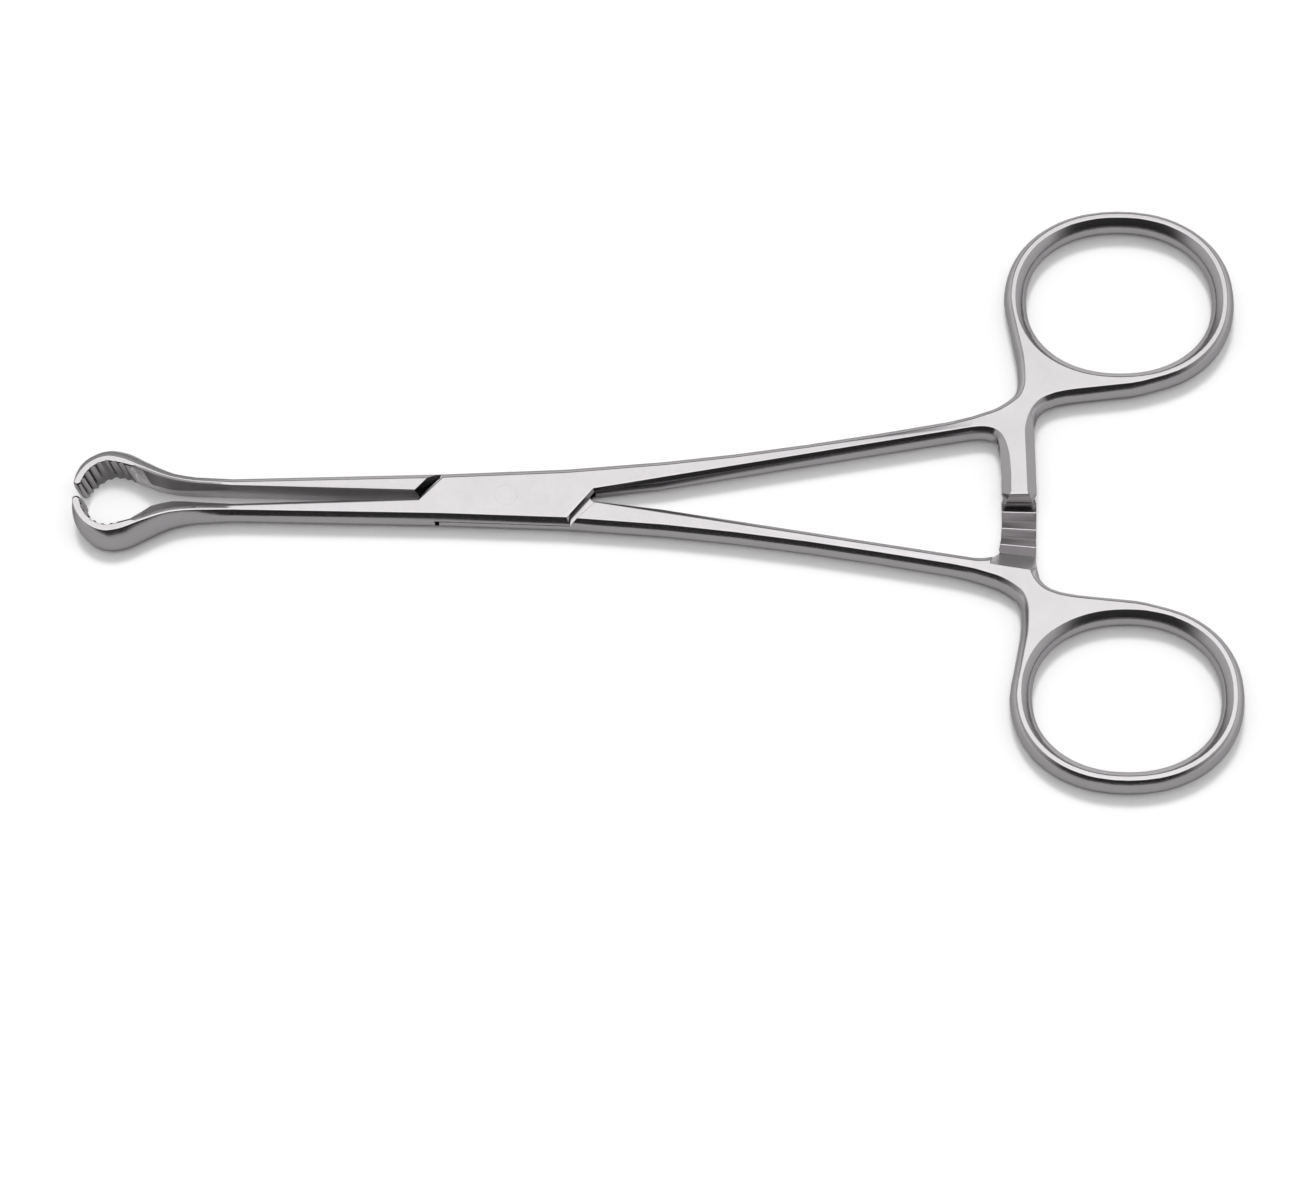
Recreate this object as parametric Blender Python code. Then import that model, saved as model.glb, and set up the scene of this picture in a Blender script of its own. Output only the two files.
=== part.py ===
"""Ring-handled box-lock forceps with fluted half-ring jaws: two mirror-image forgings on one rivet pin.

Both halves are drawn in the frame of the pin: u runs from the jaws to the rings, v across, z up, and the
pin stands at the origin. The box half has its jaw at v < 0 and its ring at v > 0, the tongue half is the
mirror image. Each half is a flat-topped bar whose sides bulge, so it is a loft between stacked outlines.
"""

import math

import bmesh
import bpy
from mathutils import Vector
from mathutils.geometry import interpolate_bezier

MM = 0.001

# Jaws, sizes of the top face
JAW_REACH = 58.8 * MM
JAW_HALF_WIDTH = 5.72 * MM
JAW_NOSE_LENGTH = 5.0 * MM
JAW_TIP_WALL = 1.15 * MM
JAW_CROWN_WALL = 1.1 * MM
JAW_TIP_CORNER = 0.37 * MM
JAW_TIP_RISE = 1.1 * MM
JAW_TAPER_LENGTH = 16.8 * MM
JAW_RAKE = 0.17
JAW_NOSE_STEPS = 5

# Taper from the jaw to its shank: shares of its length against shares of its fall, inside also of the swell
JAW_OUTER_TAPER = ((0.12, 0.12), (0.24, 0.37), (0.36, 0.6), (0.5, 0.82), (0.7, 0.95), (1.0, 1.0))
JAW_INNER_TAPER = (
    (1.0, 1.0, 0.0), (0.71, 0.93, 0.45), (0.52, 0.82, 0.9), (0.36, 0.6, 0.9), (0.18, 0.22, 0.0)
)

# Distances of the two tips' end faces from the middle line
BOX_TIP = 0.5 * MM
TONGUE_TIP = 1.2 * MM

# Flutes of the jaws' inner walls
FLUTE_COUNT = 9
FLUTE_PITCH = 1.12 * MM
FLUTE_DEPTH = 0.26 * MM
FLUTE_POINTS = 5
FLUTE_TOP_SHARE = 0.66
FLUTE_RUN_OUT = 0.8 * MM

# Jaw shanks, half widths of the closed pair at the neck and at the box
NECK_OUTER = 2.15 * MM
NECK_INNER = 1.36 * MM
SHANK_ROOT_INNER = 0.6 * MM
SHANK_ROOT_SHARE = 0.4

# Box lock, distances of the shoulders from the pin's axis
BOX_FRONT_HALF_WIDTH = 2.76 * MM
BOX_REAR_HALF_WIDTH = 3.44 * MM
BOX_FRONT_REACH = 8.13 * MM
BOX_REAR_REACH = 8.57 * MM
BOX_FRONT_ANGLE = math.radians(136.0)
BOX_REAR_ANGLE = math.radians(-39.0)
SHOULDER_CORNER_SHARE = 0.12
TONGUE_FRONT_REACH = 9.65 * MM
TONGUE_REAR_REACH = 9.3 * MM
TONGUE_FRONT_ANGLE = math.radians(137.5)
TONGUE_REAR_ANGLE = math.radians(-45.0)
TONGUE_THICKNESS = 1.1 * MM
TONGUE_END_PLAY = 1.3 * MM
CHEEK_PLAY = 0.15 * MM
SHOULDER_PLAY = 0.35 * MM
PIN_RADIUS = 1.5 * MM
PIN_PRESS_GAP = 0.01 * MM
PIN_RUNNING_GAP = 0.08 * MM

# Shanks and handles
CROTCH_HALF_WIDTH = 0.95 * MM
CROTCH_LENGTH = 9.0 * MM
SHANK_RISE = 0.1747
SHANK_WIDTH = 1.0 * MM
SHANK_ROOT_EXTRA = 1.84 * MM
SHANK_END_EXTRA = 0.13 * MM
SHANK_END_SHARE = 0.7
SHANK_STEPS = 5
ELBOW_LENGTH = 5.24 * MM
ELBOW_MIDDLE = (0.3, 0.28)
RING_BEHIND_ARM = 14.05 * MM
RING_ABOVE_SHANK = 18.64 * MM
RING_HALF_LENGTH = 14.86 * MM
RING_HALF_WIDTH = 12.95 * MM
RING_BAND = 0.8 * MM
RING_SQUARENESS = 2.15
RING_KNOT_STEP = 15
RING_FIRST_KNOT = -75
RING_SEGMENTS = 72

# Knots in millimetres: past the arm and below the ring, then past the ring's front and above its low side
WEB_KNOTS = ((0.65, 4.1), (2.6, 2.15), (6.6, 1.12), (14.2, 0.28))
OUTER_ELBOW_KNOTS = ((0.6, 9.3), (1.55, 4.3), (1.75, 0.9), (1.5, -0.9), (0.65, -2.4), (-2.4, -4.4))
OUTER_ELBOW_START = 8.4 * MM

# Ratchet
ARM_RADIUS = 69.4 * MM
ARM_TOP_WIDTH = 2.45 * MM
ARM_NOSE = 0.25 * MM
ARM_NOSE_CHAMFER = 0.4 * MM
ARM_LEFT_SPREAD = 0.1 * MM
ARM_RIGHT_SPREAD = 0.2 * MM
TOOTH_COUNT = 4
TOOTH_PITCH = 2.5 * MM
TOOTH_HEIGHT = 1.1 * MM
TOOTH_FACE_RUN = 0.75 * MM
TOOTH_LAND = 0.15 * MM
FIRST_CREST = -0.6 * MM
RATCHET_LEAD = 4.0 * MM
RATCHET_MARGIN = 0.8 * MM
RATCHET_GAP = 0.2 * MM
RATCHET_SLOPE_RUN = 3.4 * MM

# Thicknesses, and how far the sides bulge past the edges of the flat faces
JAW_THICKNESS = 5.4 * MM
SHANK_THICKNESS = 3.4 * MM
RING_THICKNESS = 4.15 * MM
JAW_BULGE = 1.55 * MM
TIP_BULGE = 0.2 * MM
INNER_BULGE = 0.55 * MM
INNER_SWELL = 1.5 * MM
BOX_BULGE = 0.95 * MM
SHOULDER_BULGE = 0.25 * MM
SHANK_BULGE = 0.9 * MM
ARM_BULGE = 1.15 * MM
NOSE_BULGE = 0.5 * MM
RING_BULGE = 0.86 * MM
RING_INNER_BULGE = 1.38 * MM

# Section of the sides: an oval cut by the flat faces at this angle from its top, squarer where it is creased.
# The swell is a sloping shoulder close under the upper face.
EDGE_ANGLE = math.radians(35.0)
EDGE_RADIUS = 0.3 * MM
EDGE_TURN = math.radians(44.0)
CREASE = 0.14
SWELL_TURN = math.radians(18.0)
ARM_CREASE = 1.0
SIDE_LEVELS = 7
TURN_STEP = math.radians(6.0)
ROUND_SEGMENTS = 48
SHARP_ANGLE = math.radians(28.0)
MERGE_DISTANCE = 0.01 * MM

# Placing: the box of the whole object is centred on x = 0 and y = 0, and its lowest faces lie on z = 0
RING_CENTRE_U = ARM_RADIUS + RING_BEHIND_ARM
PIN_X = (JAW_REACH - RING_CENTRE_U - RING_HALF_LENGTH - RING_BULGE) / 2
MIDDLE_Z = JAW_THICKNESS / 2

# Margin by which a cutter runs past what it cuts
PAST = 2.0 * MM

# Steel
STEEL_COLOUR = (0.62, 0.61, 0.6, 1.0)
STEEL_ROUGHNESS = 0.28


def clear_scene():
    for obj in list(bpy.data.objects):
        bpy.data.objects.remove(obj, do_unlink=True)


def new_collection(name):
    collection = bpy.data.collections.new(name)
    bpy.context.scene.collection.children.link(collection)
    return collection


def steel(name, roughness):
    material = bpy.data.materials.new(name)
    material.use_nodes = True
    shader = material.node_tree.nodes["Principled BSDF"]
    shader.inputs["Base Color"].default_value = STEEL_COLOUR
    shader.inputs["Metallic"].default_value = 1.0
    shader.inputs["Roughness"].default_value = roughness
    return material


def mix(start, end, share):
    return start + (end - start) * share


def ease(value, start, end):
    """0 before start and 1 past end, with a smooth change between them."""
    share = min(max((value - start) / (end - start), 0.0), 1.0)
    return share * share * (3 - 2 * share)


class Knot:
    """A point that an outline goes through, with the bulge, squareness and swell of the side there."""

    def __init__(self, u, v, bulge, corner=False, square=0.0, swell=0.0):
        self.at = Vector((u, v, 0.0))
        self.side = Vector((bulge, square, swell))
        self.corner = corner


def handle(knot, before, after, towards):
    """Bezier handle of a knot towards one of its neighbours, a third of the way to it."""
    reach = (towards.at - knot.at).length / 3
    if knot.corner:
        return knot.at + (towards.at - knot.at).normalized() * reach
    tangent = (after.at - before.at).normalized()
    return knot.at + tangent * (reach if towards is after else -reach)


def bend_of(start, start_handle, end_handle, end):
    """How much a Bezier stretch turns, both ends added."""
    chord = end - start
    return chord.angle(start_handle - start, 0.0) + chord.angle(end - end_handle, 0.0)


def outline_through(knots):
    """Closed outline through the knots, as a list of (point, side)."""
    count = len(knots)
    outline = []
    for i, knot in enumerate(knots):
        following = knots[(i + 1) % count]
        leaving = handle(knot, knots[i - 1], following, following)
        arriving = handle(following, knot, knots[(i + 2) % count], knot)
        bend = bend_of(knot.at, leaving, arriving, following.at)
        steps = max(1, math.ceil(bend / TURN_STEP))
        points = interpolate_bezier(knot.at, leaving, arriving, following.at, steps + 1)
        for step in range(steps):
            outline.append((points[step], knot.side.lerp(following.side, step / steps)))
    return outline


def outward(outline, i):
    """Miter direction of an anticlockwise outline at its point i."""
    here = outline[i][0]
    before = (here - outline[i - 1][0]).normalized()
    after = (outline[(i + 1) % len(outline)][0] - here).normalized()
    side = Vector((before.y + after.y, -before.x - after.x, 0.0)).normalized()
    return side / max(side.dot(Vector((after.y, -after.x, 0.0))), 0.5)


def side_angles():
    return [mix(EDGE_ANGLE, math.pi - EDGE_ANGLE, i / (SIDE_LEVELS - 1)) for i in range(SIDE_LEVELS)]


def side_reach(bulge, square, swell, angle):
    """How far the side stands out at this angle of its oval section."""
    share = (math.sin(angle) - math.sin(EDGE_ANGLE)) / (1 - math.sin(EDGE_ANGLE))
    shoulder = max(math.cos(angle), 0.0) * min((angle - EDGE_ANGLE) / SWELL_TURN, 1.0)
    return bulge * min(share * (1 + square), 1.0) + swell * shoulder


def section(thickness, bulge, square=0.0, swell=0.0):
    """Levels of the side from the top face to the bottom one, as (outward reach, height).

    The edge of the flat face is rounded off by an arc, and the rest is the oval.
    """
    levels = []
    for turn in (0.0, EDGE_TURN / 2):
        reach = EDGE_RADIUS * (math.sin(turn) - math.sin(EDGE_TURN))
        levels.append((reach, thickness / 2 - EDGE_RADIUS * (1 - math.cos(turn))))
    side_half = thickness / 2 - EDGE_RADIUS * (1 - math.cos(EDGE_TURN))
    lower = [(reach, -height) for reach, height in reversed(levels)]
    for angle in side_angles():
        height = side_half * math.cos(angle) / math.cos(EDGE_ANGLE)
        levels.append((side_reach(bulge, square, swell, angle), height))
    return levels + lower


def thickness_at(u):
    """Full thickness of a half: thick jaws, thinner shanks and box, thicker rings."""
    neck = jaw_crown_u() + JAW_TAPER_LENGTH
    jaw_share = 1 - ease(u, jaw_crown_u() + JAW_NOSE_LENGTH / 2, neck)
    ring_share = ease(u, ARM_RADIUS - RING_HALF_WIDTH, ARM_RADIUS)
    thickness = mix(SHANK_THICKNESS, JAW_THICKNESS, jaw_share)
    return mix(thickness, RING_THICKNESS, ring_share)


def rake_at(u):
    """Share of the jaws' rake: their lower faces lie further back than their upper ones."""
    return JAW_RAKE * (1 - ease(u, jaw_crown_u(), jaw_crown_u() + JAW_TAPER_LENGTH))


def tip_rise_at(u):
    """How far the lower face of the jaw comes up at its tip."""
    inside = JAW_TIP_WALL - JAW_REACH
    return JAW_TIP_RISE * (1 - ease(u, inside, inside + JAW_TIP_WALL))


def raked(point):
    thickness = thickness_at(point.x)
    drop = thickness / 2 - point.z
    lift = tip_rise_at(point.x) * drop / thickness
    return Vector((point.x + rake_at(point.x) * drop, point.y, point.z + lift))


def skin(mesh, rings):
    """Quads between stacked rings of vertices."""
    for upper, lower in zip(rings, rings[1:]):
        for i in range(len(upper)):
            mesh.faces.new((lower[i - 1], lower[i], upper[i], upper[i - 1]))


def forging(name, outline):
    """Solid with flat faces above and below and bulging sides between them."""
    mesh = bmesh.new()
    columns = []
    for i, (point, side) in enumerate(outline):
        column = []
        for reach, height in section(thickness_at(point.x), *side):
            spot = point + outward(outline, i) * reach
            spot.z = height
            column.append(mesh.verts.new(raked(spot)))
        columns.append(column)
    rings = list(zip(*columns))
    skin(mesh, rings)
    for ring in (rings[0], rings[-1]):
        rim = [mesh.edges.get((ring[i - 1], ring[i])) for i in range(len(ring))]
        bmesh.ops.triangle_fill(mesh, edges=rim, use_beauty=True)
    bmesh.ops.recalc_face_normals(mesh, faces=mesh.faces)
    return object_from(name, mesh)


def object_from(name, mesh):
    data = bpy.data.meshes.new(name)
    mesh.to_mesh(data)
    mesh.free()
    return bpy.data.objects.new(name, data)


def jaw_crown_u():
    return JAW_NOSE_LENGTH - JAW_REACH


def jaw_nose(half_length, half_width, degrees):
    """Point of the jaw's oval nose, in degrees from its crown towards its tip."""
    turn = math.radians(degrees)
    return jaw_crown_u() - half_length * math.sin(turn), -half_width * math.cos(turn)


def tip_degrees(half_width, tip):
    return math.degrees(math.acos(tip / half_width))


def jaw_outer_knots(tip):
    """From the tip round the nose and along the jaw shank to the box."""
    knots = []
    last = tip_degrees(JAW_HALF_WIDTH, tip)
    for step in range(JAW_NOSE_STEPS, -1, -1):
        share = step / JAW_NOSE_STEPS
        u, v = jaw_nose(JAW_NOSE_LENGTH, JAW_HALF_WIDTH, share * last)
        knots.append(Knot(u, v, mix(JAW_BULGE, TIP_BULGE, share * share)))
    fall = JAW_HALF_WIDTH - NECK_OUTER
    for share, down in JAW_OUTER_TAPER:
        u = jaw_crown_u() + share * JAW_TAPER_LENGTH
        knots.append(Knot(u, -JAW_HALF_WIDTH + down * fall, mix(JAW_BULGE, SHANK_BULGE, down)))
    return knots


def jaw_inner_path(tip):
    """Inner edge of the jaw's top face and its swell, from the neck forward and round the nose to the tip."""
    inner_length = JAW_NOSE_LENGTH - JAW_TIP_WALL
    inner_width = JAW_HALF_WIDTH - JAW_CROWN_WALL
    path = []
    fall = inner_width - NECK_INNER
    for share, down, swell in JAW_INNER_TAPER:
        u = jaw_crown_u() + share * JAW_TAPER_LENGTH
        path.append((u, -inner_width + down * fall, swell))
    last = tip_degrees(inner_width, tip)
    for step in range(JAW_NOSE_STEPS + 1):
        path.append((*jaw_nose(inner_length, inner_width, step / JAW_NOSE_STEPS * last), 0.0))
    return path


def on_shoulder(reach, angle, v):
    """u of the shoulder line at this v. The line lies this far from the pin, square to the angle."""
    return (reach - v * math.sin(angle)) / math.cos(angle)


def front_corner_u():
    return on_shoulder(BOX_FRONT_REACH, BOX_FRONT_ANGLE, BOX_FRONT_HALF_WIDTH)


def rear_corner_u():
    return on_shoulder(BOX_REAR_REACH, BOX_REAR_ANGLE, -BOX_REAR_HALF_WIDTH)


def crotch_u():
    return on_shoulder(BOX_REAR_REACH, BOX_REAR_ANGLE, CROTCH_HALF_WIDTH)


def shank_inner_v(u):
    return CROTCH_HALF_WIDTH + SHANK_RISE * (u - crotch_u())


def ring_centre_v():
    return shank_inner_v(ARM_RADIUS) + RING_ABOVE_SHANK


def shoulder_knots(corner, root):
    """The two ends of a shoulder, with the narrow bulge of the joint starting close to its outer corner."""
    inside = Vector(corner).lerp(Vector(root), SHOULDER_CORNER_SHARE)
    return [
        Knot(*corner, BOX_BULGE, corner=True),
        Knot(*inside, SHOULDER_BULGE),
        Knot(*root, SHOULDER_BULGE, corner=True),
    ]


def box_rear_knots():
    """Lower side of the box, its rear shoulder and the crotch where the shanks part."""
    start = Knot(front_corner_u(), -BOX_FRONT_HALF_WIDTH, BOX_BULGE)
    corner = (rear_corner_u(), -BOX_REAR_HALF_WIDTH)
    return [start] + shoulder_knots(corner, (crotch_u(), CROTCH_HALF_WIDTH))


def arm_knots():
    """Inner edge of the shank, the elbow and the ratchet arm down to its chamfered nose and back up."""
    left = ARM_RADIUS - ARM_TOP_WIDTH / 2
    right = ARM_RADIUS + ARM_TOP_WIDTH / 2
    opened = crotch_u() + CROTCH_LENGTH
    turn = left - ELBOW_LENGTH
    back, down = ELBOW_MIDDLE
    above = shank_inner_v(left) - ELBOW_LENGTH * down
    below = shank_inner_v(left) - ELBOW_LENGTH
    side = -ARM_NOSE + ARM_NOSE_CHAMFER
    return [
        Knot(opened, shank_inner_v(opened), SHANK_BULGE),
        Knot(turn, shank_inner_v(turn), SHANK_BULGE),
        Knot(left - ELBOW_LENGTH * back, above, mix(SHANK_BULGE, ARM_BULGE, back)),
        Knot(left - ARM_LEFT_SPREAD, below, ARM_BULGE, square=ARM_CREASE),
        Knot(left, side, ARM_BULGE, corner=True, square=ARM_CREASE),
        Knot(left, -ARM_NOSE, NOSE_BULGE, corner=True, square=CREASE),
        Knot(right, -ARM_NOSE, NOSE_BULGE, corner=True, square=CREASE),
        Knot(right, side, ARM_BULGE, corner=True, square=ARM_CREASE),
        Knot(right - ARM_RIGHT_SPREAD, above, ARM_BULGE, square=ARM_CREASE),
    ]


def ring_point(half_length, half_width, degrees):
    """Point of the ring's squarish oval, in degrees from +u."""
    turn = math.radians(degrees)
    power = 2 / RING_SQUARENESS
    u = math.copysign(abs(math.cos(turn)) ** power, math.cos(turn)) * half_length
    v = math.copysign(abs(math.sin(turn)) ** power, math.sin(turn)) * half_width
    return RING_CENTRE_U + u, ring_centre_v() + v


def ring_knots():
    """From the fillet behind the ratchet arm round the ring to the outer elbow of the shank."""
    right = ARM_RADIUS + ARM_TOP_WIDTH / 2
    low = ring_centre_v() - RING_HALF_WIDTH
    knots = [Knot(right + past * MM, low - below * MM, SHANK_BULGE) for past, below in WEB_KNOTS]
    for degrees in range(RING_FIRST_KNOT, 180 + 1, RING_KNOT_STEP):
        knots.append(Knot(*ring_point(RING_HALF_LENGTH, RING_HALF_WIDTH, degrees), RING_BULGE))
    return knots


def shank_outer_knots():
    """From the ring's front side back along the shank's outer edge to the front shoulder of the box."""
    front = RING_CENTRE_U - RING_HALF_LENGTH
    low = ring_centre_v() - RING_HALF_WIDTH
    knots = [Knot(front + past * MM, low + above * MM, SHANK_BULGE) for past, above in OUTER_ELBOW_KNOTS]
    knots[0].side.x = RING_BULGE
    for step in range(SHANK_STEPS, 0, -1):
        share = step / SHANK_STEPS
        u = mix(crotch_u(), front - OUTER_ELBOW_START, share)
        width = SHANK_WIDTH + SHANK_ROOT_EXTRA * (1 - share) ** 3
        width += SHANK_END_EXTRA * ease(share, SHANK_END_SHARE, 1.0)
        knots.append(Knot(u, shank_inner_v(u) + width, SHANK_BULGE))
    return knots


def box_front_knots():
    """Upper side of the box, its front shoulder and the root of the jaw shank."""
    root_u = on_shoulder(BOX_FRONT_REACH, BOX_FRONT_ANGLE, -SHANK_ROOT_INNER)
    neck_u = jaw_crown_u() + JAW_TAPER_LENGTH
    inner = mix(SHANK_ROOT_INNER, NECK_INNER, SHANK_ROOT_SHARE)
    start = Knot(rear_corner_u(), BOX_REAR_HALF_WIDTH, BOX_BULGE)
    end = Knot(mix(root_u, neck_u, SHANK_ROOT_SHARE), -inner, INNER_BULGE, square=CREASE)
    corner = (front_corner_u(), BOX_FRONT_HALF_WIDTH)
    return [start] + shoulder_knots(corner, (root_u, -SHANK_ROOT_INNER)) + [end]


def jaw_inner_knots(tip):
    knots = []
    for u, v, swell in jaw_inner_path(tip):
        knots.append(Knot(u, v, INNER_BULGE, square=CREASE, swell=swell * INNER_SWELL))
    knots[-1].side.x = TIP_BULGE
    return knots


def rounded(before, corner, after):
    """Two knots in place of a corner of the jaw's tip."""
    pair = []
    for other in (before, after):
        spot = corner.at + (other.at - corner.at).normalized() * JAW_TIP_CORNER
        pair.append(Knot(spot.x, spot.y, TIP_BULGE))
    return pair


def half_outline(tip):
    outer = jaw_outer_knots(tip)
    inner = jaw_inner_knots(tip)
    knots = rounded(inner[-1], outer[0], outer[1]) + outer[1:] + box_rear_knots() + arm_knots() + ring_knots()
    knots += shank_outer_knots() + box_front_knots() + inner[:-1] + rounded(inner[-2], inner[-1], outer[0])
    return outline_through(knots)


def plate(name, points, bottom, top):
    """Closed solid with this outline between two heights."""
    curve = bpy.data.curves.new(name, "CURVE")
    curve.dimensions = "2D"
    curve.fill_mode = "BOTH"
    curve.extrude = (top - bottom) / 2
    spline = curve.splines.new("POLY")
    spline.points.add(len(points) - 1)
    for target, (x, y) in zip(spline.points, points):
        target.co = (x, y, 0.0, 1.0)
    spline.use_cyclic_u = True
    drawn = bpy.data.objects.new(name, curve)
    drawn.location.z = (top + bottom) / 2
    bpy.context.scene.collection.objects.link(drawn)
    bpy.context.view_layer.update()
    graph = bpy.context.evaluated_depsgraph_get()
    data = bpy.data.meshes.new_from_object(drawn.evaluated_get(graph))
    data.transform(drawn.matrix_world)
    bpy.data.objects.remove(drawn)
    bpy.data.curves.remove(curve)
    mesh = bmesh.new()
    mesh.from_mesh(data)
    bmesh.ops.remove_doubles(mesh, verts=mesh.verts, dist=MERGE_DISTANCE)
    bmesh.ops.recalc_face_normals(mesh, faces=mesh.faces)
    mesh.to_mesh(data)
    mesh.free()
    return bpy.data.objects.new(name, data)


def cylinder(name, radius, bottom, top):
    mesh = bmesh.new()
    bmesh.ops.create_cone(
        mesh, cap_ends=True, segments=ROUND_SEGMENTS, radius1=radius, radius2=radius, depth=top - bottom
    )
    bmesh.ops.translate(mesh, verts=mesh.verts, vec=(0.0, 0.0, (top + bottom) / 2))
    return object_from(name, mesh)


def remap(obj, place):
    """Moves every vertex to where place puts it."""
    for vertex in obj.data.vertices:
        vertex.co = place(vertex.co)


def make_cutter(obj, cutters):
    cutters.objects.link(obj)
    obj.hide_render = True
    obj.display_type = "WIRE"
    return obj


def cut(target, cutter):
    modifier = target.modifiers.new(cutter.name, "BOOLEAN")
    modifier.operation = "DIFFERENCE"
    modifier.solver = "EXACT"
    modifier.object = cutter


def ring_hole():
    """Waist-shaped turned plug, stretched to the ring's oval."""
    length = RING_HALF_LENGTH - RING_BAND
    width = RING_HALF_WIDTH - RING_BAND
    levels = section(RING_THICKNESS, RING_INNER_BULGE)
    (reach, height), (next_reach, next_height) = levels[:2]
    mouth = 2 * reach - next_reach
    lip = 2 * height - next_height
    levels = [(mouth, RING_THICKNESS), (mouth, lip)] + levels + [(mouth, -lip), (mouth, -RING_THICKNESS)]
    mesh = bmesh.new()
    rings = []
    for reach, height in levels:
        ring = []
        for i in range(RING_SEGMENTS):
            u, v = ring_point(length - reach, width - reach * width / length, 360 * i / RING_SEGMENTS)
            ring.append(mesh.verts.new((u, v, height)))
        rings.append(ring)
    skin(mesh, rings)
    mesh.faces.new(rings[0])
    mesh.faces.new(reversed(rings[-1]))
    bmesh.ops.recalc_face_normals(mesh, faces=mesh.faces)
    return object_from("ring_hole", mesh)


def along(path, distance):
    """Point and direction at this distance along an open polyline."""
    for start, end in zip(path, path[1:]):
        length = (end - start).length
        if distance <= length:
            break
        distance -= length
    return start + (end - start) * (distance / length), (end - start).normalized()


def jaw_inner_edge(tip):
    """Inner edge of the jaw's top face as a polyline, from the tip backwards."""
    knots = [Knot(u, v, 0.0) for u, v, _ in reversed(jaw_inner_path(tip))]
    knots[0].corner = True
    knots[-1].corner = True
    edge = []
    for point, _ in outline_through(knots):
        edge.append(point)
        if (point - knots[-1].at).length < MERGE_DISTANCE:
            break
    return edge


def jaw_cavity(tip):
    """Space inside the jaw. Its wall has a row of flutes that runs out onto the bulge behind the crown."""
    edge = jaw_inner_edge(tip)
    row = FLUTE_COUNT * FLUTE_PITCH
    points = []
    for step in range(FLUTE_COUNT * FLUTE_POINTS + 1):
        distance = step * FLUTE_PITCH / FLUTE_POINTS
        spot, heading = along(edge, distance)
        groove = FLUTE_DEPTH * abs(math.sin(math.pi * step / FLUTE_POINTS))
        groove -= FLUTE_RUN_OUT * ease(distance, row * FLUTE_TOP_SHARE, row)
        points.append((spot.x + heading.y * groove, spot.y - heading.x * groove))
    end = points[-1]
    points.append((end[0], end[1] + JAW_HALF_WIDTH))
    points.append((points[0][0], end[1] + JAW_HALF_WIDTH))
    cavity = plate("jaw_cavity", points, -JAW_THICKNESS, JAW_THICKNESS)
    remap(cavity, raked)
    return cavity


def shoulder_line(reach, angle, across):
    """Point on a shoulder line, this far along it from its foot."""
    foot = Vector((math.cos(angle), math.sin(angle))) * reach
    return foot + Vector((-math.sin(angle), math.cos(angle))) * across


def slot_cutter():
    """Slot for the tongue: through the box from side to side, between two end walls."""
    half = TONGUE_THICKNESS / 2 + CHEEK_PLAY
    front = BOX_FRONT_REACH + TONGUE_END_PLAY
    rear = BOX_REAR_REACH + TONGUE_END_PLAY
    wide = BOX_REAR_HALF_WIDTH * 3
    corners = [
        shoulder_line(front, -BOX_FRONT_ANGLE, -wide),
        shoulder_line(front, -BOX_FRONT_ANGLE, wide),
        shoulder_line(rear, -BOX_REAR_ANGLE, -wide),
        shoulder_line(rear, -BOX_REAR_ANGLE, wide),
    ]
    return plate("lock_slot", [tuple(corner) for corner in corners], -half, half)


def shoulder_cutter(name, reach, angle, side):
    """Takes one cheek's depth off the tongue, up to a sloping shoulder."""
    low = TONGUE_THICKNESS / 2
    high = SHANK_THICKNESS / 2
    foot = min(reach, box_reach(angle) + SHOULDER_BULGE + SHOULDER_PLAY)
    slope = (reach - foot) / (high - low)
    past = reach + slope * PAST
    profile = [(-PAST, low), (foot, low), (past, high + PAST), (-PAST, high + PAST)]
    wedge = plate(name, profile, -3 * BOX_REAR_HALF_WIDTH, 3 * BOX_REAR_HALF_WIDTH)
    ahead = Vector((math.cos(angle), math.sin(angle), 0.0))
    beside = Vector((-math.sin(angle), math.cos(angle), 0.0))

    def place(point):
        spot = ahead * point.x + beside * point.z
        spot.z = side * point.y
        return spot

    remap(wedge, place)
    face_outward(wedge)
    return wedge


def box_reach(angle):
    return BOX_FRONT_REACH if math.cos(angle) < 0 else BOX_REAR_REACH


def face_outward(obj):
    mesh = bmesh.new()
    mesh.from_mesh(obj.data)
    bmesh.ops.recalc_face_normals(mesh, faces=mesh.faces)
    mesh.to_mesh(obj.data)
    mesh.free()


def tooth_profile():
    """Outline of the space above the ratchet's teeth, as distance along the arm and height."""
    crest = -RATCHET_GAP / 2
    root = crest - TOOTH_HEIGHT
    top = RING_THICKNESS / 2
    start = FIRST_CREST
    profile = [(start - RATCHET_LEAD, crest)]
    for i in range(TOOTH_COUNT):
        at = start + i * TOOTH_PITCH
        profile.append((at, crest))
        profile.append((at + TOOTH_LAND, crest))
        profile.append((at + TOOTH_LAND + TOOTH_FACE_RUN, root))
    foot = start + (TOOTH_COUNT - 1) * TOOTH_PITCH + TOOTH_LAND + TOOTH_FACE_RUN
    rise = (top - root) / RATCHET_SLOPE_RUN
    profile.append((foot + RATCHET_SLOPE_RUN + PAST / rise, top + PAST))
    profile.append((start - RATCHET_LEAD, top + PAST))
    return profile


def ratchet_cutter(name, side):
    """Cuts the teeth into one side of the ratchet arm, each edge pointing at the pin."""
    reach = ARM_TOP_WIDTH / 2 + ARM_BULGE + RATCHET_MARGIN
    rack = plate(name, tooth_profile(), ARM_RADIUS - reach, ARM_RADIUS + reach)

    def place(point):
        turn = point.x / ARM_RADIUS
        return Vector((point.z * math.cos(turn), point.z * math.sin(turn), side * point.y))

    remap(rack, place)
    face_outward(rack)
    return rack


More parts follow.
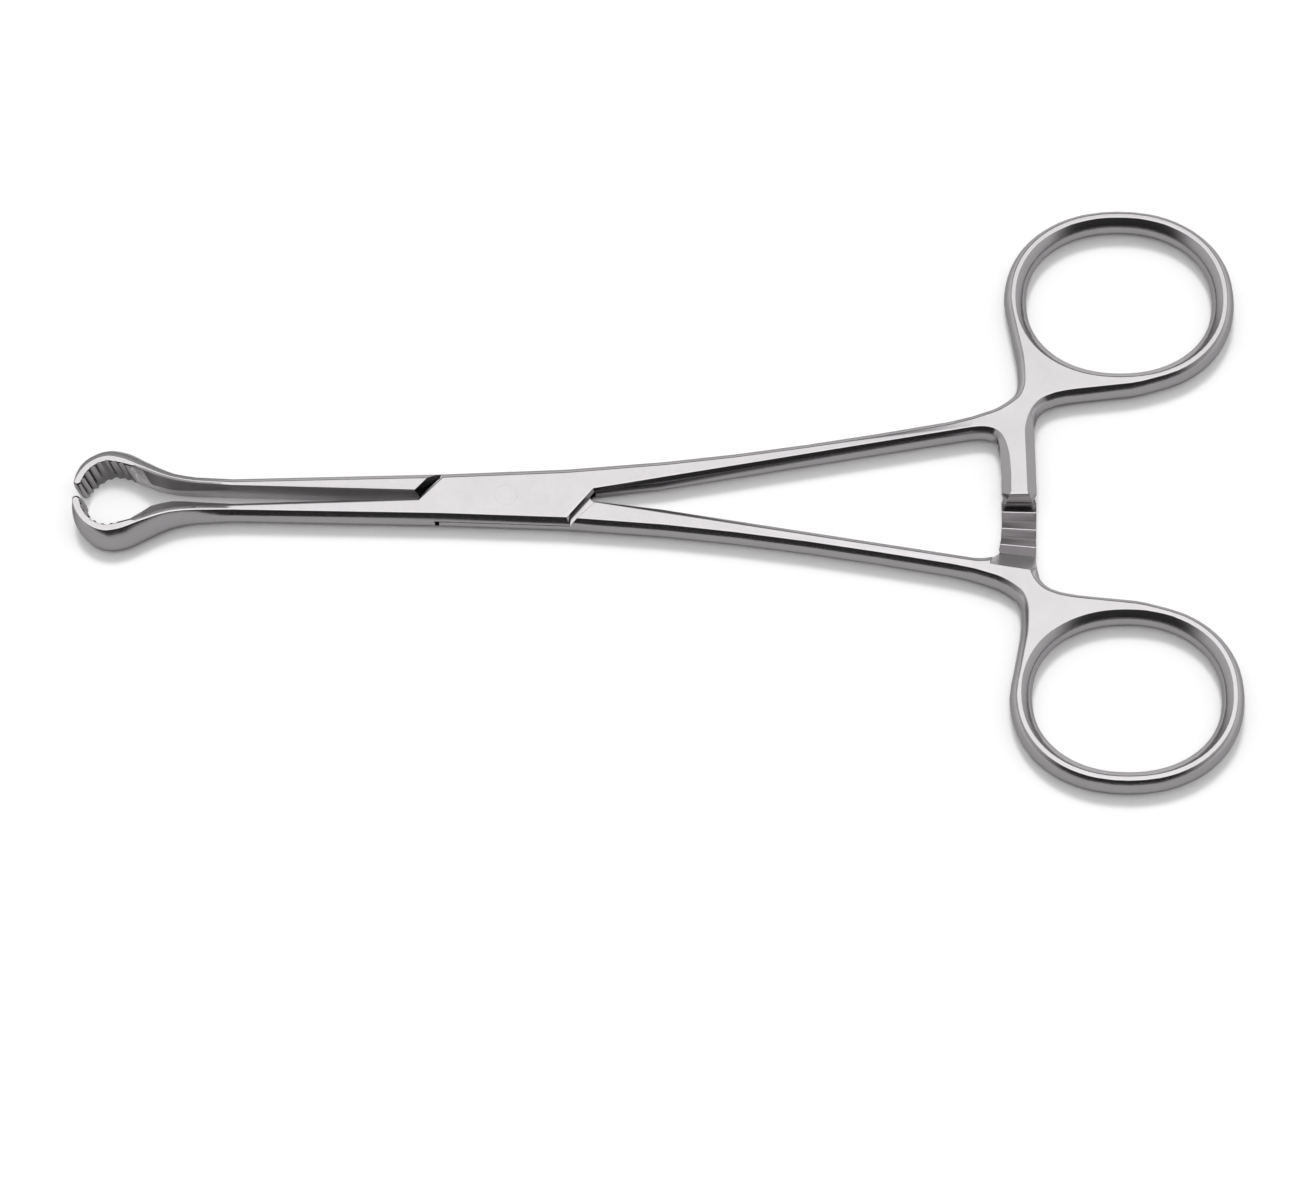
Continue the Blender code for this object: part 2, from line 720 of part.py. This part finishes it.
def mirrored(obj):
    """Mirror image across the middle plane v = 0, faces still outward."""
    remap(obj, lambda point: Vector((point.x, -point.y, point.z)))
    face_outward(obj)
    return obj


def place_part(obj, collection, material):
    collection.objects.link(obj)
    obj.location = (PIN_X, 0.0, MIDDLE_Z)
    obj.data.materials.append(material)
    obj.data.shade_smooth()
    obj.data.set_sharp_from_angle(angle=SHARP_ANGLE)
    return obj


def box_half(parts, cutters, material):
    half = place_part(forging("box_half", half_outline(BOX_TIP)), parts, material)
    thick = SHANK_THICKNESS / 2
    tools = [
        ring_hole(),
        jaw_cavity(BOX_TIP),
        slot_cutter(),
        cylinder("cheek_bore", PIN_RADIUS + PIN_PRESS_GAP, -thick - PAST, thick + PAST),
        ratchet_cutter("upper_teeth", -1),
    ]
    for tool in tools:
        tool.location = half.location
        cut(half, make_cutter(tool, cutters))
    return half


def tongue_half(parts, cutters, material):
    half = place_part(mirrored(forging("tongue_half", half_outline(TONGUE_TIP))), parts, material)
    thick = SHANK_THICKNESS / 2
    tools = [ring_hole(), jaw_cavity(TONGUE_TIP), ratchet_cutter("lower_teeth", 1)]
    tools = [mirrored(tool) for tool in tools]
    for side in (1, -1):
        tools.append(shoulder_cutter("front_shoulder", TONGUE_FRONT_REACH, TONGUE_FRONT_ANGLE, side))
        tools.append(shoulder_cutter("rear_shoulder", TONGUE_REAR_REACH, TONGUE_REAR_ANGLE, side))
    tools.append(cylinder("tongue_bore", PIN_RADIUS + PIN_RUNNING_GAP, -thick - PAST, thick + PAST))
    for tool in tools:
        tool.location = half.location
        cut(half, make_cutter(tool, cutters))
    return half


def lock_pin(parts, material):
    thick = SHANK_THICKNESS / 2
    return place_part(cylinder("lock_pin", PIN_RADIUS, -thick, thick), parts, material)


def main():
    clear_scene()
    parts = new_collection("babcock_forceps")
    cutters = new_collection("cutters")
    satin = steel("satin_steel", STEEL_ROUGHNESS)
    box_half(parts, cutters, satin)
    tongue_half(parts, cutters, satin)
    lock_pin(parts, steel("pin_steel", STEEL_ROUGHNESS))


main()
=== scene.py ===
import math

import bmesh
import bpy
from mathutils import Matrix, Vector


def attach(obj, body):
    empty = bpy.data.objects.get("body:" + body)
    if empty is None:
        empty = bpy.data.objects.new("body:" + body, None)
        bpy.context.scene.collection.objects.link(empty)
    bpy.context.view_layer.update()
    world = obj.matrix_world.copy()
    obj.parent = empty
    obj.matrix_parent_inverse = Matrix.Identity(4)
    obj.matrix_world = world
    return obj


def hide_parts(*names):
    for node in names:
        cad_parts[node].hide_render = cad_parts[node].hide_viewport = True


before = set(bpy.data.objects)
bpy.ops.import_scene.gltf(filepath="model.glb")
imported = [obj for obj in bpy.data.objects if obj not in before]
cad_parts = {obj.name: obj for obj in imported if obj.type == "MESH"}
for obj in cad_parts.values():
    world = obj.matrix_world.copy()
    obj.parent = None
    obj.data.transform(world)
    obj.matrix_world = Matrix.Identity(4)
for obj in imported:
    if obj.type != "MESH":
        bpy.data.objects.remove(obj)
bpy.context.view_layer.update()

MM = 0.001
WHITE = (1.0, 1.0, 1.0, 1.0)

# CAD nodes and the bodies that the pieces in their place ride on
BODIES = {"box_half": "box_body", "tongue_half": "tongue_body", "lock_pin": "box_body"}

# The photograph's view of the object: the pixel that shows a point of the middle of its upper side
PHOTO_WIDTH = 1310
PHOTO_HEIGHT = 1200
SEEN_PIXEL = (655, 496.3)
SEEN_POINT = Vector((0.0, -0.59, 5.0)) * MM
PIXELS_PER_METRE = 7400
FOCAL_PIXELS = 8000
VIEW_ELEVATION = math.radians(65.0)
VIEW_AZIMUTH = math.radians(2.56)
VIEW_ROLL = math.radians(-2.44)
SENSOR_WIDTH = 36.0

# Studio: soft patches of light (elevation, azimuth, core, reach, width, strength) in a grey room that is
# dark in front, and two softened lamps (elevation, azimuth, width, power) that the steel doesn't mirror.
# Angles are in degrees; a patch's width is how many times wider than high it is.
PATCHES = {
    "behind": (73.0, 92.0, 10.0, 18.0, 2.1, 1.03),
    "in_front": (77.0, -88.0, 9.0, 20.0, 2.1, 1.25),
    "low_behind": (15.0, 92.0, 20.0, 55.0, 1.0, -0.3),
    "right": (30.0, 0.0, 20.0, 50.0, 1.0, 0.1),
    "left": (30.0, 180.0, 20.0, 50.0, 1.0, 0.1),
}
ROOM_STRENGTH = 0.5
DARK_SIDE = (15.0, -92.5, 40.0, 66.0, 0.75)
DARK_STRENGTH = 0.035
LAMPS = {"lamp_behind": (73.5, 98.0, 13.0, 1.05), "lamp_in_front": (68.0, -85.0, 10.0, 0.35)}

# Floor
FLOOR_SIZE = 3.0
FLOOR_COLOUR = (0.97, 0.965, 0.97, 1.0)
FLOOR_GRAIN = {"Scale": 900.0, "Detail": 2.0}
FLOOR_GRAIN_TONE = 0.01
FLOOR_ROUGHNESS = 0.9

# Steel: two finishes (roughness, grain, metallic, share of the colour that the sides keep, which is
# painted shade), their cloudy tone and their fine grain; the second is steel painted lighter as painted
# light on the shaded inner sides of the shanks and on the ramps
FINISHES_AND_PAINTED_SHADING = {"satin_steel": (0.19, 0.04, 1.0, 0.48), "painted_light_steel": (0.3, 0.05, 0.72, 0.9)}
STEEL_COLOUR = (0.6, 0.58, 0.593, 1.0)
STEEL_RIM = (0.6, 0.6, 0.6, 1.0)
CLOUD = {"Scale": 260.0, "Detail": 5.0, "Roughness": 0.6}
CLOUD_SHADE = (0.88, 0.88, 0.88, 1.0)
GRAIN = {"Scale": 3800.0, "Detail": 3.0, "Roughness": 0.6}
GRAIN_LOW = 0.3
GRAIN_HIGH = 0.7
SMOOTHER = 0.02
ROUGHER = 0.03
GRAIN_DEPTH = 0.01 * MM

# Sides and ground upper faces, told apart by how far their normals point up or down, for the painted shade on
# the sides
SIDE_UNTIL = 0.45
GROUND_FROM = 0.85

# Softened edges, which leave out the flush pin and its bore
EDGE_ROUNDING = 0.09 * MM
EDGE_SAMPLES = 6
PIN_PLACE = Vector((-20.185, 0.0, 0.0)) * MM
PIN_SURROUND = 2.6 * MM

# Sections: how flat their upper parts and how steep their sides look, between the facets' own slopes
MERGE_DISTANCE = 0.002 * MM
SHARP_ANGLE = math.radians(27.0)
FLAT = 0.9995
UPRIGHT = math.pi / 2
SIDES_FROM = math.radians(30.0)
FLATNESS = 1.6
JAW_STEEPNESS = 0.57
SHANK_STEEPNESS = 0.85
RING_STEEPNESS = 1.0
INNER_STEEPNESS = 0.2

# Places along the object, and across it where the ramps of the ratchet arms end
NECK_X = -71.0 * MM
JAW_END_X = -58.0 * MM
BOX_START_X = -32.0 * MM
RING_START_X = 46.0 * MM
RAMP_START_X = 46.0 * MM
RAMP_END_X = 52.0 * MM
RAMP_END_Y = 8.0 * MM
RAMP_SLOPE = 0.5


def add_node(tree, kind, inputs, **properties):
    """Shader node with its properties set, and its inputs linked to sockets or set to values."""
    node = tree.nodes.new(kind)
    for name, value in properties.items():
        setattr(node, name, value)
    for name, value in inputs.items():
        if isinstance(value, bpy.types.NodeSocket):
            tree.links.new(value, node.inputs[name])
        else:
            node.inputs[name].default_value = value
    return node


def noise(tree, place, pattern):
    return add_node(tree, "ShaderNodeTexNoise", {"Vector": place, **pattern}).outputs["Fac"]


def blend(tree, factor, low, high, blend_type="MIX"):
    """Colour between low and high, or their product for the blend type MULTIPLY."""
    inputs = {"Factor": factor, "A": low, "B": high}
    return add_node(tree, "ShaderNodeMix", inputs, data_type="RGBA", blend_type=blend_type).outputs["Result"]


def ramp(tree, value, start, end, low=0.0, high=1.0, interpolation="LINEAR"):
    """Low until the value reaches start, high from end on."""
    inputs = {"Value": value, "From Min": start, "From Max": end, "To Min": low, "To Max": high}
    return add_node(tree, "ShaderNodeMapRange", inputs, interpolation_type=interpolation).outputs["Result"]


def vector_math(tree, operation, first, second, result="Vector"):
    inputs = {0: first, 1: second}
    return add_node(tree, "ShaderNodeVectorMath", inputs, operation=operation).outputs[result]


def new_material(name):
    """Material, its node tree and its Principled BSDF."""
    material = bpy.data.materials.new(name)
    material.use_nodes = True
    tree = material.node_tree
    return material, tree, tree.nodes["Principled BSDF"]


def steel_tone_and_painted_shade(tree, place, painted_side_shade_share):
    """Steel's colour with soft clouds, and painted shade that makes the sides darker than the ground upper
    faces.
    """
    clouds = blend(tree, noise(tree, place.outputs["Object"], CLOUD), CLOUD_SHADE, WHITE)
    facing = add_node(tree, "ShaderNodeSeparateXYZ", {"Vector": place.outputs["Normal"]})
    upward = add_node(tree, "ShaderNodeMath", {0: facing.outputs["Z"]}, operation="ABSOLUTE")
    ground = ramp(tree, upward.outputs["Value"], SIDE_UNTIL, GROUND_FROM, interpolation="SMOOTHSTEP")
    # Painted shade: the sides keep only a share of the steel's colour
    side_shade = blend(tree, ground, (painted_side_shade_share, painted_side_shade_share, painted_side_shade_share, 1.0), WHITE)
    both = blend(tree, 1.0, clouds, side_shade, "MULTIPLY")
    return blend(tree, 1.0, STEEL_COLOUR, both, "MULTIPLY")


def softened_edges(tree, place):
    """Normal that is rounded over the edges, but not round the pin."""
    across = vector_math(tree, "MULTIPLY", place.outputs["Object"], (1.0, 1.0, 0.0))
    away = vector_math(tree, "DISTANCE", across, PIN_PLACE, "Value")
    off_pin = add_node(tree, "ShaderNodeMath", {0: away, 1: PIN_SURROUND}, operation="GREATER_THAN")
    rounding = add_node(
        tree, "ShaderNodeMath", {0: off_pin.outputs["Value"], 1: EDGE_ROUNDING}, operation="MULTIPLY"
    )
    edges = add_node(tree, "ShaderNodeBevel", {"Radius": rounding.outputs["Value"]}, samples=EDGE_SAMPLES)
    return edges.outputs["Normal"]


def steel(name, roughness, grain, metallic, painted_side_shade_share):
    """Stainless steel: a soft cloudy tone with painted shade on its sides, a fine uneven polish and a faint
    grain, its edges softened.
    """
    material, tree, shader = new_material(name)
    link = tree.links.new
    place = add_node(tree, "ShaderNodeTexCoord", {})
    fine = noise(tree, place.outputs["Object"], GRAIN)
    polish = ramp(tree, fine, GRAIN_LOW, GRAIN_HIGH, roughness - SMOOTHER, roughness + ROUGHER)
    surface = {
        "Strength": grain,
        "Distance": GRAIN_DEPTH,
        "Height": fine,
        "Normal": softened_edges(tree, place),
    }
    link(steel_tone_and_painted_shade(tree, place, painted_side_shade_share), shader.inputs["Base Color"])
    link(polish, shader.inputs["Roughness"])
    link(add_node(tree, "ShaderNodeBump", surface).outputs["Normal"], shader.inputs["Normal"])
    shader.inputs["Metallic"].default_value = metallic
    shader.inputs["Specular Tint"].default_value = STEEL_RIM
    return material


def floor_material():
    """Plain pale floor with a faint grain."""
    material, tree, shader = new_material("pale_floor")
    grain = add_node(tree, "ShaderNodeTexNoise", FLOOR_GRAIN)
    lighter = [min(1.0, value + FLOOR_GRAIN_TONE) for value in FLOOR_COLOUR]
    tree.links.new(blend(tree, grain.outputs["Fac"], FLOOR_COLOUR, lighter), shader.inputs["Base Color"])
    shader.inputs["Roughness"].default_value = FLOOR_ROUGHNESS
    shader.inputs["Specular IOR Level"].default_value = 0.0
    return material


def fan(loop):
    """Faces round the loop's corner that smooth edges join to the loop's own face."""
    found = [loop.face]
    for face in found:
        for edge in face.edges:
            if loop.vert in edge.verts and edge.calc_face_angle(math.pi) < SHARP_ANGLE:
                found += [other for other in edge.link_faces if other not in found]
    return found


def steepness(x):
    """How steep the sides of the jaws, the shanks or the rings look, whichever are there."""
    if x < JAW_END_X:
        return JAW_STEEPNESS
    return RING_STEEPNESS if x > RING_START_X else SHANK_STEEPNESS


def inner_side(normal, place):
    """Whether a side of a jaw or its shank faces the other half."""
    return place.x < BOX_START_X and normal.y * place.y < 0.0


def inner_shank(face):
    """Whether a face is on the inner side of a jaw's shank."""
    middle = face.calc_center_median()
    return middle.x > NECK_X and abs(face.normal.z) < FLAT and inner_side(face.normal, middle)


def ratchet_ramp(face):
    """Whether a face belongs to the slope from a shank to the teeth of its ratchet arm."""
    middle = face.calc_center_median()
    towards_middle = -face.normal.y * math.copysign(1.0, middle.y)
    slopes = RAMP_SLOPE < abs(face.normal.z) < FLAT and towards_middle > RAMP_SLOPE
    return slopes and RAMP_START_X < middle.x < RAMP_END_X and abs(middle.y) > RAMP_END_Y


def hand_finished(normal, place):
    """Normal of a section with a flatter crest and differently steep sides, its level and its upright kept."""
    lean = math.acos(min(abs(normal.z), 1.0))
    if inner_side(normal, place):
        turn = UPRIGHT * (lean / UPRIGHT) ** INNER_STEEPNESS
    elif lean < SIDES_FROM:
        turn = SIDES_FROM * (lean / SIDES_FROM) ** FLATNESS
    else:
        rest = UPRIGHT - SIDES_FROM
        turn = SIDES_FROM + rest * min((lean - SIDES_FROM) / rest, 1.0) ** steepness(place.x)
    level = Vector((normal.x, normal.y, 0.0)).normalized()
    return level * math.sin(turn) + Vector((0.0, 0.0, math.copysign(math.cos(turn), normal.z)))


def shading_normal(loop):
    """A flat face's own normal, also on the edges of sides that join it smoothly, or the sides' normal."""
    faces = fan(loop)
    place = loop.vert.co
    flat = [face for face in faces if abs(face.normal.z) > FLAT]
    if flat and (loop.face in flat or not inner_side(loop.face.normal, place)):
        return flat[0].normal
    sides = [face.normal * face.calc_area() for face in faces if face not in flat]
    return hand_finished(sum(sides, Vector()).normalized(), place)


def dress(node, body, materials):
    """Show a smooth copy of a CAD node in its place, with painted light: lighter steel on the shanks' inner
    sides and the ramps.
    """
    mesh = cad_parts[node].data.copy()
    mesh.materials.clear()
    for material in materials:
        mesh.materials.append(material)
    piece = bpy.data.objects.new(node + "_steel", mesh)
    bpy.context.scene.collection.objects.link(piece)
    shape = bmesh.new()
    shape.from_mesh(mesh)
    bmesh.ops.remove_doubles(shape, verts=shape.verts, dist=MERGE_DISTANCE)
    shape.normal_update()
    normals = []
    for face in shape.faces:
        face.smooth = True
        # Painted light: the shanks' inner sides and the ratchet ramps, where shade falls between the parts,
        # take the lighter second steel
        face.material_index = int(inner_shank(face) or ratchet_ramp(face))
        normals += [shading_normal(loop) for loop in face.loops]
    shape.to_mesh(mesh)
    shape.free()
    mesh.normals_split_custom_set(normals)
    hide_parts(node)
    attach(piece, body)


def floor():
    """Square floor at z = 0."""
    mesh = bpy.data.meshes.new("floor")
    shape = bmesh.new()
    bmesh.ops.create_grid(shape, x_segments=1, y_segments=1, size=FLOOR_SIZE / 2)
    shape.to_mesh(mesh)
    shape.free()
    mesh.materials.append(floor_material())
    ground = bpy.data.objects.new("floor", mesh)
    bpy.context.scene.collection.objects.link(ground)


def direction(elevation, azimuth):
    """Unit vector from angles in degrees, azimuth counted from +x towards +y."""
    level = math.cos(math.radians(elevation))
    turn = math.radians(azimuth)
    return Vector((level * math.cos(turn), level * math.sin(turn), math.sin(math.radians(elevation))))


def glow(tree, place, elevation, azimuth, core, reach, width):
    """1 within core of a direction, 0 beyond reach of it, both of them width times as far along x."""
    squeezed = vector_math(tree, "MULTIPLY", place, (1.0 / width, 1.0, 1.0))
    unit = add_node(tree, "ShaderNodeVectorMath", {0: squeezed}, operation="NORMALIZE")
    near = vector_math(tree, "DOT_PRODUCT", unit.outputs["Vector"], direction(elevation, azimuth), "Value")
    edge, middle = math.cos(math.radians(reach)), math.cos(math.radians(core))
    return ramp(tree, near, edge, middle, interpolation="SMOOTHSTEP")


def studio():
    """World light: two soft patches overhead in a grey room that is dark low in front."""
    world = bpy.data.worlds.new("studio")
    bpy.context.scene.world = world
    world.use_nodes = True
    tree = world.node_tree
    place = add_node(tree, "ShaderNodeTexCoord", {}).outputs["Generated"]
    light = ramp(tree, glow(tree, place, *DARK_SIDE), 0.0, 1.0, ROOM_STRENGTH, DARK_STRENGTH)
    for *patch, strength in PATCHES.values():
        inputs = {0: glow(tree, place, *patch), 1: strength, 2: light}
        light = add_node(tree, "ShaderNodeMath", inputs, operation="MULTIPLY_ADD").outputs["Value"]
    background = tree.nodes["Background"]
    background.inputs["Color"].default_value = WHITE
    tree.links.new(light, background.inputs["Strength"])


def lamp(name, elevation, azimuth, width, power):
    """Softened lamp, nearly overhead, mostly for the floor and its tight shadow."""
    data = bpy.data.lights.new(name, "SUN")
    data.energy = power
    data.angle = math.radians(width)
    light = bpy.data.objects.new(name, data)
    light.rotation_euler = direction(elevation, azimuth).to_track_quat("Z", "Y").to_euler()
    light.visible_glossy = False
    bpy.context.scene.collection.objects.link(light)


def camera():
    """The photograph's camera: far away, looking down at the object from its lower ring's side."""
    ahead = Vector((
        -math.sin(VIEW_AZIMUTH) * math.cos(VIEW_ELEVATION),
        math.cos(VIEW_AZIMUTH) * math.cos(VIEW_ELEVATION),
        -math.sin(VIEW_ELEVATION),
    ))
    right = Vector((math.cos(VIEW_AZIMUTH), math.sin(VIEW_AZIMUTH), 0.0))
    right.rotate(Matrix.Rotation(VIEW_ROLL, 3, -ahead))
    up = right.cross(ahead)
    lift = (PHOTO_HEIGHT / 2 - SEEN_PIXEL[1]) / FOCAL_PIXELS
    aside = (SEEN_PIXEL[0] - PHOTO_WIDTH / 2) / FOCAL_PIXELS
    distance = FOCAL_PIXELS / PIXELS_PER_METRE
    data = bpy.data.cameras.new("photo_view")
    data.sensor_width = SENSOR_WIDTH
    data.lens = SENSOR_WIDTH * FOCAL_PIXELS / PHOTO_WIDTH
    view = bpy.data.objects.new("photo_view", data)
    bpy.context.scene.collection.objects.link(view)
    turned = Matrix((right, up, -ahead)).transposed()
    spot = SEEN_POINT - (ahead + up * lift + right * aside) * distance
    view.matrix_world = Matrix.Translation(spot) @ turned.to_4x4()
    bpy.context.scene.camera = view


def main():
    steels = [steel(name, *settings) for name, settings in FINISHES_AND_PAINTED_SHADING.items()]
    for node, body in BODIES.items():
        dress(node, body, steels)
    floor()
    studio()
    for name, settings in LAMPS.items():
        lamp(name, *settings)
    camera()
    bpy.context.scene.view_settings.view_transform = "Standard"


main()
